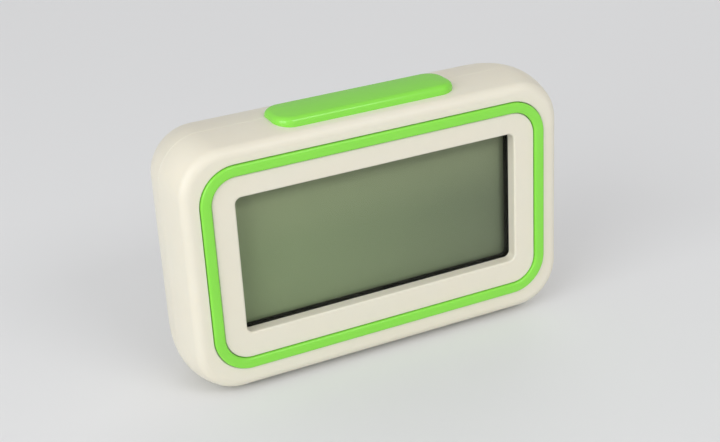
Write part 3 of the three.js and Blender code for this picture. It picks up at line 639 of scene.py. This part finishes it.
def front_case():
    """Front half: side, face, groove round the ring, window with its collar, and the inside."""
    seam = SEAM_DEPTH - SEAM_LINE / 2

    def groove(spread, depth):
        slack = 2 * (GROOVE_SLACK + spread)
        size = (RING_HIGH.x - RING_LOW.x + slack, RING_HIGH.z - RING_LOW.z + slack)
        return standing(rounded_outline(*size, RING_RADIUS + GROOVE_SLACK + spread), depth, 0, RING_MIDDLE)

    def island(spread, depth):
        slack = 2 * (RING_BAND + GROOVE_SLACK + spread)
        size = (RING_HIGH.x - RING_LOW.x - slack, RING_HIGH.z - RING_LOW.z - slack)
        radius = RING_RADIUS - RING_BAND - GROOVE_SLACK - spread
        return standing(rounded_outline(*size, radius), depth, 0, RING_MIDDLE)

    def window(spread, depth):
        size = (WINDOW_WIDTH + 2 * spread, WINDOW_HEIGHT + 2 * spread)
        return standing(rounded_outline(*size, WINDOW_RADIUS + spread), depth, 0, WINDOW_MIDDLE)

    edge = FRONT_FILLET
    loops = [case_loop(seam, 0, SEAM_EDGE), case_loop(seam - SEAM_EDGE)]
    loops += [case_loop(depth) for depth in between(seam - SEAM_START, edge + 0.3, 8)]
    loops += [case_loop(edge * (1 - math.cos(angle))) for angle in reversed(quarter(8))]
    loops += [case_loop(0, 0, MARGIN)]
    loops += [groove(GROOVE_LIP + MARGIN, 0), *into_wall(groove, GROOVE_LIP), groove(0, GROOVE_DEPTH)]
    loops += [island(0, GROOVE_DEPTH), *reversed(into_wall(island, GROOVE_LIP))]
    loops += [island(GROOVE_LIP + MARGIN, 0)]
    loops += [window(WINDOW_LIP + MARGIN, 0), *into_wall(window, WINDOW_LIP)]
    loops += [window(0, COLLAR_DEPTH), window(COLLAR_WALL, COLLAR_DEPTH), window(COLLAR_WALL, WALL)]
    loops += [case_loop(depth, WALL) for depth in between(WALL, seam - 0.5, 6)]
    tongue = seam + TONGUE_REACH
    loops += [case_loop(tongue, WALL), case_loop(tongue, TONGUE_INSET), case_loop(seam, TONGUE_INSET)]
    return loft("front_case", loops, ring=True)


BAR_LOW, BAR_HIGH = span("top_bar")
BAR_WIDTH, BAR_DEPTH, BAR_RADIUS = 52.0, 13.6, 5.0  # the part of the bar above its flange
BAR_MIDDLE = 10.3  # depth of the bar's middle
SLOT_BELOW = 6.0  # the slot's cutter starts this far under the case's top
PAD_PROFILE = ((3.8, 0), (4.05, 0.15), (4.8, 3.2))  # (radius, height over the underside's lowest line)


def slot_cutter():
    """Cuts the bar's slot, with an edge that follows the crowned top."""
    def ring(spread, drop=None, height=None):
        size = (BAR_WIDTH + 2 * (CLEAR + spread), BAR_DEPTH + 2 * (CLEAR + spread))
        outline = rounded_outline(*size, BAR_RADIUS + CLEAR + spread)
        return [(x, BAR_MIDDLE + y, height if height is not None else top_height(BAR_MIDDLE + y) - drop)
                for x, y in outline]

    loops = [ring(0, height=CASE_HEIGHT / 2 - SLOT_BELOW)]
    loops += [ring(outward, drop=back) for outward, back in lip_profile()]
    return loft("slot_cutter", loops)


def foot_pads(middle_y):
    """Tapered pads that bring the curved underside level for two feet."""
    profile = [(radius, up - CASE_HEIGHT / 2) for radius, up in PAD_PROFILE]
    return [upright("pad", profile, middle(node).x, middle_y) for node in ("foot_1", "foot_2")]


def build_front():
    case = front_case()
    weld_on(case, *foot_pads(middle("foot_1").y))
    carve(case, slot_cutter())
    finished(case, "case", "cream_case", ["front_shell"])


def rear_case():
    """Rear half: inside, rebate, seam, side and back."""
    seam = SEAM_DEPTH + SEAM_LINE / 2
    inner = BACK_INNER
    rebate = seam + REBATE_REACH
    loops = [case_loop(inner - (REAR_FILLET - WALL) * (1 - math.cos(angle)), WALL) for angle in quarter(5)]
    loops += [case_loop(depth, WALL) for depth in between(inner - 2.6, rebate + 0.2, 6)]
    loops += [case_loop(rebate, WALL), case_loop(rebate, REBATE_INSET), case_loop(seam, REBATE_INSET)]
    loops += [case_loop(seam, 0, SEAM_EDGE), case_loop(seam + SEAM_EDGE)]
    loops += [case_loop(depth) for depth in between(seam + SEAM_START, CASE_DEPTH - REAR_FILLET - 0.4, 10)]
    loops += [case_loop(CASE_DEPTH - REAR_FILLET * (1 - math.cos(angle))) for angle in reversed(quarter(10))]
    loops += [case_loop(CASE_DEPTH, 0, MARGIN)]
    return loft("rear_case", loops)


CELL_LOW, _ = span("battery_cell_lower")
DOOR_LOW, DOOR_HIGH = span("battery_door")
HOOK_DROP = 1.3  # how far the door's hooks reach below its edge
DOOR_WIDTH = DOOR_HIGH.x - DOOR_LOW.x
DOOR_HEIGHT = DOOR_HIGH.z - DOOR_LOW.z - HOOK_DROP
DOOR_THICK = 1.8
DOOR_X = (DOOR_LOW.x + DOOR_HIGH.x) / 2
DOOR_Z = DOOR_HIGH.z - DOOR_HEIGHT / 2
DOOR_RADIUS = 1.2
BAY_WIDTH, BAY_HEIGHT, BAY_WALL = DOOR_WIDTH - 1.4, DOOR_HEIGHT - 1.4, 1.2
BAY_FLOOR = CELL_LOW.y - 0.35
HOOK_X, HOOK_WIDTH = 15.0, 4.0

KEY_NODES = ["mode_key", "set_key", "up_key", "down_key"]
KEY_RADIUS = 3.5
KEY_FLANGE, KEY_FLANGE_THICK = 0.9, 1.0
SPEAKER = middle("speaker_cone")
SCREW_NODES = [f"case_screw_{number}" for number in (1, 2, 3, 4)]
SLIDER_LOW, SLIDER_HIGH = span("slide_switch_knob")
SLIDER_TRAVEL = travel("slide_switch")
SLIDER_WIDTH, SLIDER_HEIGHT = SLIDER_HIGH.x - SLIDER_LOW.x, SLIDER_HIGH.z - SLIDER_LOW.z
SLIDER_SLACK = 0.5  # what its opening is larger than its sweep, both ways together
GRILLE_HOLE, GRILLE_PITCH = 0.8, 3.0  # radius, and distance between rings
GRILLE_LIP = 0.15
WELL_RADIUS, POST_RADIUS = 2.0, 2.6
POST_DEPTH = 3.0  # how far a screw post stands in front of the screw's seat
INTO_BACK = 0.6  # how far the posts and the bay's walls run into the back's wall
THROUGH = 1.0  # how far inside the back a cutter starts
HOOK_SLACK = 0.3  # room on each side of a hook
SCREW_HEAD = 1.4  # height of a case screw's head
SCREW_SEAT = span("case_screw_1")[1].y - SCREW_HEAD


def grille_places():
    """One hole in the middle and rings of six and twelve round it."""
    places = [(SPEAKER.x, SPEAKER.z)]
    for ring in (1, 2):
        for hole in range(ring * 6):
            angle = math.tau * hole / (ring * 6)
            reach = ring * GRILLE_PITCH
            places.append((SPEAKER.x + reach * math.cos(angle), SPEAKER.z + reach * math.sin(angle)))
    return places


def rear_openings():
    """Cutters for everything that opens through the back."""
    inner = BACK_INNER
    cutters = [rear_opening("door_gap", lambda out: rounded_outline(
        DOOR_WIDTH + 2 * (CLEAR + out), DOOR_HEIGHT + 2 * (CLEAR + out), DOOR_RADIUS + CLEAR + out, 6),
        inner - 0.01, DOOR_X, DOOR_Z, 0.2)]
    holes = [rear_opening("key_hole", lambda out: circle(KEY_RADIUS + 0.2 + out), inner - THROUGH,
                          middle(node).x, middle(node).z) for node in KEY_NODES]
    slider_width = SLIDER_WIDTH + SLIDER_TRAVEL + SLIDER_SLACK
    slider_x = (SLIDER_LOW.x + SLIDER_HIGH.x + SLIDER_TRAVEL) / 2
    slider_height = SLIDER_HEIGHT + SLIDER_SLACK
    holes.append(rear_opening("slider_gap", lambda out: rounded_outline(
        slider_width + 2 * out, slider_height + 2 * out, 0.4 + out, 5),
        inner - THROUGH, slider_x, middle("slide_switch_knob").z))
    cutters.append(as_one("key_openings", holes))
    grille = [rear_opening("grille_hole", lambda out: circle(GRILLE_HOLE + out, 20), inner - THROUGH,
                           x, z, GRILLE_LIP) for x, z in grille_places()]
    cutters.append(as_one("grille_holes", grille))
    wells = [turned("screw_well", [(WELL_RADIUS, SCREW_SEAT), (WELL_RADIUS, CASE_DEPTH + 1)],
                    middle(node).x, middle(node).z) for node in SCREW_NODES]
    cutters.append(as_one("screw_wells", wells))
    return cutters


def build_rear():
    case = rear_case()
    inner = BACK_INNER
    half_width, half_height = BAY_WIDTH / 2, BAY_HEIGHT / 2
    bay_outer = block("bay_outer",
                      (DOOR_X - half_width - BAY_WALL, BAY_FLOOR - 1, DOOR_Z - half_height - BAY_WALL),
                      (DOOR_X + half_width + BAY_WALL, inner + INTO_BACK, DOOR_Z + half_height + BAY_WALL))
    post = [(POST_RADIUS, SCREW_SEAT - POST_DEPTH), (POST_RADIUS, inner + INTO_BACK)]
    posts = [turned("post", post, middle(node).x, middle(node).z) for node in SCREW_NODES]
    weld_on(case, bay_outer, *posts, *foot_pads(middle("foot_3").y))
    bay_inner = block("bay_inner", (DOOR_X - half_width, BAY_FLOOR, DOOR_Z - half_height),
                      (DOOR_X + half_width, inner + 0.3, DOOR_Z + half_height))
    bay_bottom = DOOR_Z - half_height
    hook_gaps = []
    for side in (-1, 1):
        left = DOOR_X + side * HOOK_X - HOOK_WIDTH / 2 - HOOK_SLACK
        right = DOOR_X + side * HOOK_X + HOOK_WIDTH / 2 + HOOK_SLACK
        hook_gaps.append(block("hook_gap", (left, inner - 2, bay_bottom - 3.2), (right, inner, bay_bottom + 1)))
    carve(case, slot_cutter(), bay_inner, *hook_gaps, *rear_openings())
    finished(case, "case", "cream_case", ["rear_shell"])


# ---------------------------------------------------------------- green pieces


def build_ring():
    """Accent ring: rolled edges that go down into the groove, and a low crown between them."""
    front = RING_LOW.y
    half = RING_BAND / 2
    fullness = 0.55  # 1 would be an ellipse, less is squarer
    crown = []
    for angle in between(-math.pi / 2, math.pi / 2, 24):
        across = math.copysign(abs(math.sin(angle)) ** fullness, angle)
        crown.append((half * across, front * abs(math.cos(angle)) ** fullness))
    profile = [(-half, RING_HIGH.y), *crown, (half, RING_HIGH.y)]
    loops = []
    for across, depth in profile:
        inset = half + across
        size = (RING_HIGH.x - RING_LOW.x - 2 * inset, RING_HIGH.z - RING_LOW.z - 2 * inset)
        loops.append(standing(rounded_outline(*size, RING_RADIUS - inset, 20), depth, 0, RING_MIDDLE))
    ring = loft("accent_ring_trim", loops, ring=True)
    finished(ring, "case", "green_gloss", ["accent_ring"])


def build_bar():
    """Bar button: straight skirt, soft top edge and a very slightly domed top."""
    edge = 1.6
    dome = 0.25
    top = BAR_HIGH.z

    def ring(inset, height):
        size = (BAR_WIDTH - 2 * inset, BAR_DEPTH - 2 * inset)
        return lying(rounded_outline(*size, max(0.2, BAR_RADIUS - inset)), height, 0, BAR_MIDDLE)

    loops = [ring(0, BAR_LOW.z + 1.1), ring(0, top - dome - edge)]
    loops += [ring(edge * (1 - math.cos(angle)), top - dome - edge * (1 - math.sin(angle)))
              for angle in quarter(8)[1:]]
    reach = BAR_DEPTH / 2 - 0.3
    loops += [ring(inset, top - dome + dome * (1 - ((reach - inset) / (reach - edge)) ** 2))
              for inset in between(edge, reach, 6)[1:]]
    bar = loft("bar_button", loops)
    finished(bar, "bar", "green_gloss", ["top_bar"])


# ---------------------------------------------------------------- display


def build_display():
    """Foam gasket with its opening's soft inner edge; the film, glass and lens keep their CAD shapes."""
    low, high = span("lcd_gasket")
    width, height = high.x - low.x, high.z - low.z

    def ring(width, height, radius, depth):
        return standing(rounded_outline(width, height, radius, 8), depth, 0, WINDOW_MIDDLE)

    soft = 0.3
    loops = [ring(width, height, 1.0, high.y), ring(width, height, 1.0, low.y)]
    loops += [ring(WINDOW_WIDTH + 2 * soft, WINDOW_HEIGHT + 2 * soft, WINDOW_RADIUS + soft, low.y),
              ring(WINDOW_WIDTH, WINDOW_HEIGHT, WINDOW_RADIUS, low.y + soft),
              ring(WINDOW_WIDTH, WINDOW_HEIGHT, WINDOW_RADIUS, high.y)]
    gasket = loft("display_gasket", loops, ring=True)
    finished(gasket, "case", "black_gasket", ["lcd_gasket"])


# ---------------------------------------------------------------- back: keys, switch, door, feet, screws


def build_keys():
    """Round rear keys with a flange behind the back, a rounded rim and a dished face."""
    for node in KEY_NODES:
        low, high = span(node)
        x, z = middle(node).x, middle(node).z
        face = high.y
        dish = 0.35
        edge = 0.45
        radius = KEY_RADIUS
        flange_face = low.y + KEY_FLANGE_THICK
        profile = [(radius + KEY_FLANGE, low.y), (radius + KEY_FLANGE, flange_face), (radius, flange_face)]
        profile += [(radius, face - edge)]
        profile += [(radius - edge * (1 - math.cos(angle)), face - edge * (1 - math.sin(angle)))
                    for angle in quarter()[1:]]
        rim = radius - edge - 0.25
        profile += [(rim * share, face - dish * (1 - share ** 2))
                    for share in (1, 0.85, 0.65, 0.45, 0.25, 0.08)]
        body = node.replace("_key", "_button")
        finished(turned(f"{node}_cap", profile, x, z), body, "key_plastic", [node])


def build_slider():
    """Slide switch knob with one ridge across its face."""
    low, high = SLIDER_LOW, SLIDER_HIGH
    middle_x, middle_z = (low.x + high.x) / 2, (low.z + high.z) / 2

    def ring(inset, depth, width=SLIDER_WIDTH, radius=0.35):
        return standing(rounded_outline(width - 2 * inset, SLIDER_HEIGHT - 2 * inset, radius - inset, 5),
                        depth, middle_x, middle_z)

    face = CASE_DEPTH + 0.3
    stem = loft("slide_knob", [ring(0, low.y), ring(0, face - 0.2), ring(0.06, face - 0.06), ring(0.2, face)])
    across, corner = 0.7, 0.3
    ridge = loft("ridge", [ring(0.1, face - 0.3, across, corner), ring(0.1, high.y - 0.15, across, corner),
                           ring(0.25, high.y, across, corner)])
    weld_on(stem, ridge)
    finished(stem, "slider", "knob_plastic", ["slide_switch_knob"])


def build_door():
    """Battery door with two hooks along its lower edge and shorter and shorter finger grooves."""
    inner = CASE_DEPTH - DOOR_THICK
    edge = 0.25

    def ring(inset, depth):
        return standing(rounded_outline(DOOR_WIDTH - 2 * inset, DOOR_HEIGHT - 2 * inset,
                                        DOOR_RADIUS - inset, 8), depth, DOOR_X, DOOR_Z)

    loops = [ring(0.1, inner), ring(0, inner + 0.1), ring(0, CASE_DEPTH - edge)]
    loops += [ring(edge * (1 - math.cos(angle)), CASE_DEPTH - edge * (1 - math.sin(angle)))
              for angle in quarter(4)[1:]]
    door = loft("bay_door", loops)
    bottom = DOOR_Z - DOOR_HEIGHT / 2
    hook_y = DOOR_LOW.y
    root = bottom + 1
    hooks = []
    for side in (-1, 1):
        left = DOOR_X + side * HOOK_X - HOOK_WIDTH / 2
        right = left + HOOK_WIDTH
        hooks.append(block("hook_root", (left, hook_y, root), (right, inner + 0.2, root + 1.2)))
        hooks.append(block("hook_tip", (left, hook_y, bottom - HOOK_DROP), (right, hook_y + 0.9, root + 1.1)))
    weld_on(door, *hooks)
    grip_top = DOOR_Z + DOOR_HEIGHT / 2 - 3.2
    grip_width = 12.0
    grooves = []
    for groove in range(4):
        z = grip_top - groove * 1.5
        reach = grip_width / 2 - groove * 1.1
        grooves.append(loft("groove", [
            standing(rounded_outline(2 * reach, 0.5, 0.24, 4), CASE_DEPTH - 0.45, DOOR_X, z),
            standing(rounded_outline(2 * reach + 0.3, 0.8, 0.39, 4), CASE_DEPTH, DOOR_X, z),
            standing(rounded_outline(2 * reach + 1.2, 1.1, 0.5, 4), CASE_DEPTH + 0.4, DOOR_X, z)]))
    carve(door, *grooves)
    finished(door, "door", "cream_case", ["battery_door"])


def build_feet():
    """Rubber feet with a rounded sole."""
    for number in (1, 2, 3, 4):
        node = f"foot_{number}"
        low, high = span(node)
        radius = (high.x - low.x) / 2
        edge = 0.3
        profile = [(radius, high.z), (radius, low.z + edge)]
        profile += [(radius - edge * (1 - math.cos(angle)), low.z + edge * (1 - math.sin(angle)))
                    for angle in quarter(4)[1:]]
        foot = upright(f"rubber_foot_{number}", profile, middle(node).x, middle(node).y)
        finished(foot, "case", "foot_rubber", [node])


RECESS = (1.9, 0.42)  # length and width of each arm of a screw's cross


def build_screws():
    """Case screws with a domed head and a cross recess."""
    for node in SCREW_NODES:
        low, high = span(node)
        x, z = middle(node).x, middle(node).z
        seat = high.y - SCREW_HEAD
        shank, head = 0.6, 1.7
        rim = seat + 0.55
        dome = 0.85
        profile = [(shank, low.y), (shank, seat), (head, seat), (head, rim)]
        profile += [(head * math.cos(angle), rim + dome * math.sin(angle)) for angle in quarter(6)[1:-1]]
        profile += [(0.1, high.y)]
        screw = turned(f"{node}_head", profile, x, z, 32)
        arms = [block("arm", (x - a / 2, high.y - 0.75, z - b / 2), (x + a / 2, high.y + 1, z + b / 2))
                for a, b in (RECESS, reversed(RECESS))]
        carve(screw, *arms)
        finished(screw, "case", "bright_steel", [node])


# ---------------------------------------------------------------- inside, seen through the open door


def build_cells():
    """AAA cells, lying opposite ways: profile is (radius, distance from the flat end)."""
    for node, points_right in (("battery_cell_upper", False), ("battery_cell_lower", True)):
        low, high = span(node)
        radius = (high.z - low.z) / 2
        length = high.x - low.x
        sign = 1 if points_right else -1
        start = low.x if points_right else high.x
        nub = 1.2
        profile = [(radius - 0.9, 0), (radius - 0.3, 0), (radius, 0.35), (radius, length - nub - 0.45),
                   (radius - 0.35, length - nub - 0.1), (radius - 1.1, length - nub),
                   (1.95, length - nub - 0.1), (1.9, length - 0.25), (1.65, length)]
        y, z = middle(node).y, middle(node).z
        loops = [[(start + sign * along, y + a, z + b) for a, b in circle(r)] for r, along in profile]
        finished(loft(f"{node}_body", loops), "case", "cell_sleeve", [node])


def build_springs():
    """Fine coils for the bar's return springs, which on the real clock flatten as the bar goes down; these keep
    their rest length.
    """
    for side in ("left", "right"):
        node = f"top_bar_spring_{side}"
        low, high = span(node)
        wire = 0.25
        radius = (high.x - low.x) / 2 - wire
        centre = middle(node)
        up = Vector((0, 0, 1))
        turns, steps, sides = 5, 24, 8
        bottom, top = low.z + wire, high.z - wire
        loops = []
        for step in range(turns * steps + 1):
            share = step / (turns * steps)
            angle = math.tau * turns * share
            out = Vector((math.cos(angle), math.sin(angle), 0))
            place = Vector((centre.x, centre.y, bottom + (top - bottom) * share)) + out * radius
            loops.append([tuple(place + wire * (out * a + up * b)) for a, b in circle(1, sides)])
        coil = finished(loft(f"{node}_coil", loops), "case", "bright_steel", [node])
        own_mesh(coil)


# ---------------------------------------------------------------- stage


FLOOR_REACH = 12.0  # metres, so that its edge stays far behind the clock


def build_floor():
    mesh = bpy.data.meshes.new("floor")
    reach = FLOOR_REACH
    mesh.from_pydata([(-reach, -reach, 0), (reach, -reach, 0), (reach, reach, 0), (-reach, reach, 0)], [],
                     [(0, 1, 2, 3)])
    floor = bpy.data.objects.new("floor", mesh)
    bpy.context.scene.collection.objects.link(floor)
    paper = Finish("floor_paper", (0.80, 0.81, 0.825, 1.0), 0.85, Specular_IOR_Level=0.3)
    mesh.materials.append(paper.material)


def aim(obj, target):
    obj.rotation_euler = (Vector(target) - obj.location).to_track_quat("-Z", "Y").to_euler()


ROOM_COLOUR = (1.0, 0.985, 0.975, 1.0)
ROOM_DIM, ROOM_BRIGHT = 0.36, 0.84  # strength on its far and near sides
BRIGHT_SIDE = Vector((-0.5, -0.8, 0.1))
LIGHT_TARGET = (0, 0, 0.03)  # near the middle of the clock, in metres


def softbox(name, place, size, power, tint=(1, 1, 1), target=LIGHT_TARGET):
    light = bpy.data.lights.new(name, "AREA")
    light.shape = "RECTANGLE"
    light.size, light.size_y = size
    light.energy = power
    light.color = tint
    obj = bpy.data.objects.new(name, light)
    obj.location = place
    bpy.context.scene.collection.objects.link(obj)
    aim(obj, target)
    return obj


def build_light():
    """A pale room, brighter towards its front left, with softboxes at the left, over the front and behind."""
    world = bpy.data.worlds.new("studio")
    world.use_nodes = True
    nodes, links = world.node_tree.nodes, world.node_tree.links
    background = nodes["Background"]
    background.inputs["Color"].default_value = ROOM_COLOUR
    facing = nodes.new("ShaderNodeVectorMath")
    facing.operation = "DOT_PRODUCT"
    facing.inputs[1].default_value = BRIGHT_SIDE.normalized()
    links.new(nodes.new("ShaderNodeTexCoord").outputs["Generated"], facing.inputs[0])
    spread = nodes.new("ShaderNodeMapRange")
    spread.inputs["From Min"].default_value = -1.0
    spread.inputs["To Min"].default_value = ROOM_DIM
    spread.inputs["To Max"].default_value = ROOM_BRIGHT
    links.new(facing.outputs["Value"], spread.inputs["Value"])
    links.new(spread.outputs["Result"], background.inputs["Strength"])
    bpy.context.scene.world = world
    softbox("key_light", (-1.0, -0.5, 0.5), (0.9, 0.9), 6.3, (0.98, 1.0, 1.0))
    softbox("front_light", (0.25, -0.9, 0.75), (0.5, 0.35), 2.2)
    far_light = softbox("far_light", (0.8, 1.1, 0.35), (0.9, 0.5), 3.6, (0.97, 0.98, 1.0), (0.2, 0.6, 0))
    far_light.visible_glossy = False  # it only lifts the floor behind the clock


# Where the camera stands from the ring's middle, and how it is turned.
CAMERA_FROM_RING = Vector((-146.63, -299.98, 152.32)) * MM
CAMERA_YAW, CAMERA_PITCH, CAMERA_ROLL = 24.99, -23.96, 3.38  # degrees
CAMERA_LENS = 69.21  # millimetres, on the sensor width below
SENSOR_WIDTH = 36


def build_camera():
    camera = bpy.data.cameras.new("camera")
    camera.sensor_width = SENSOR_WIDTH
    camera.lens = CAMERA_LENS
    camera.clip_start = 0.01
    obj = bpy.data.objects.new("camera", camera)
    obj.location = at(0, 0, RING_MIDDLE) + CAMERA_FROM_RING
    obj.rotation_mode = "XYZ"
    turn = Euler((math.radians(90 + CAMERA_PITCH), 0, math.radians(-CAMERA_YAW))).to_matrix()
    roll = Euler((0, 0, math.radians(-CAMERA_ROLL))).to_matrix()
    obj.rotation_euler = (turn @ roll).to_euler()
    bpy.context.scene.collection.objects.link(obj)
    bpy.context.scene.camera = obj
    bpy.context.scene.view_settings.view_transform = "Standard"


# ---------------------------------------------------------------- the whole clock

build_camera()
dress_frame()
build_front()
build_rear()
build_ring()
build_bar()
build_display()
build_keys()
build_slider()
build_door()
build_feet()
build_screws()
build_cells()
build_springs()
build_floor()
build_light()
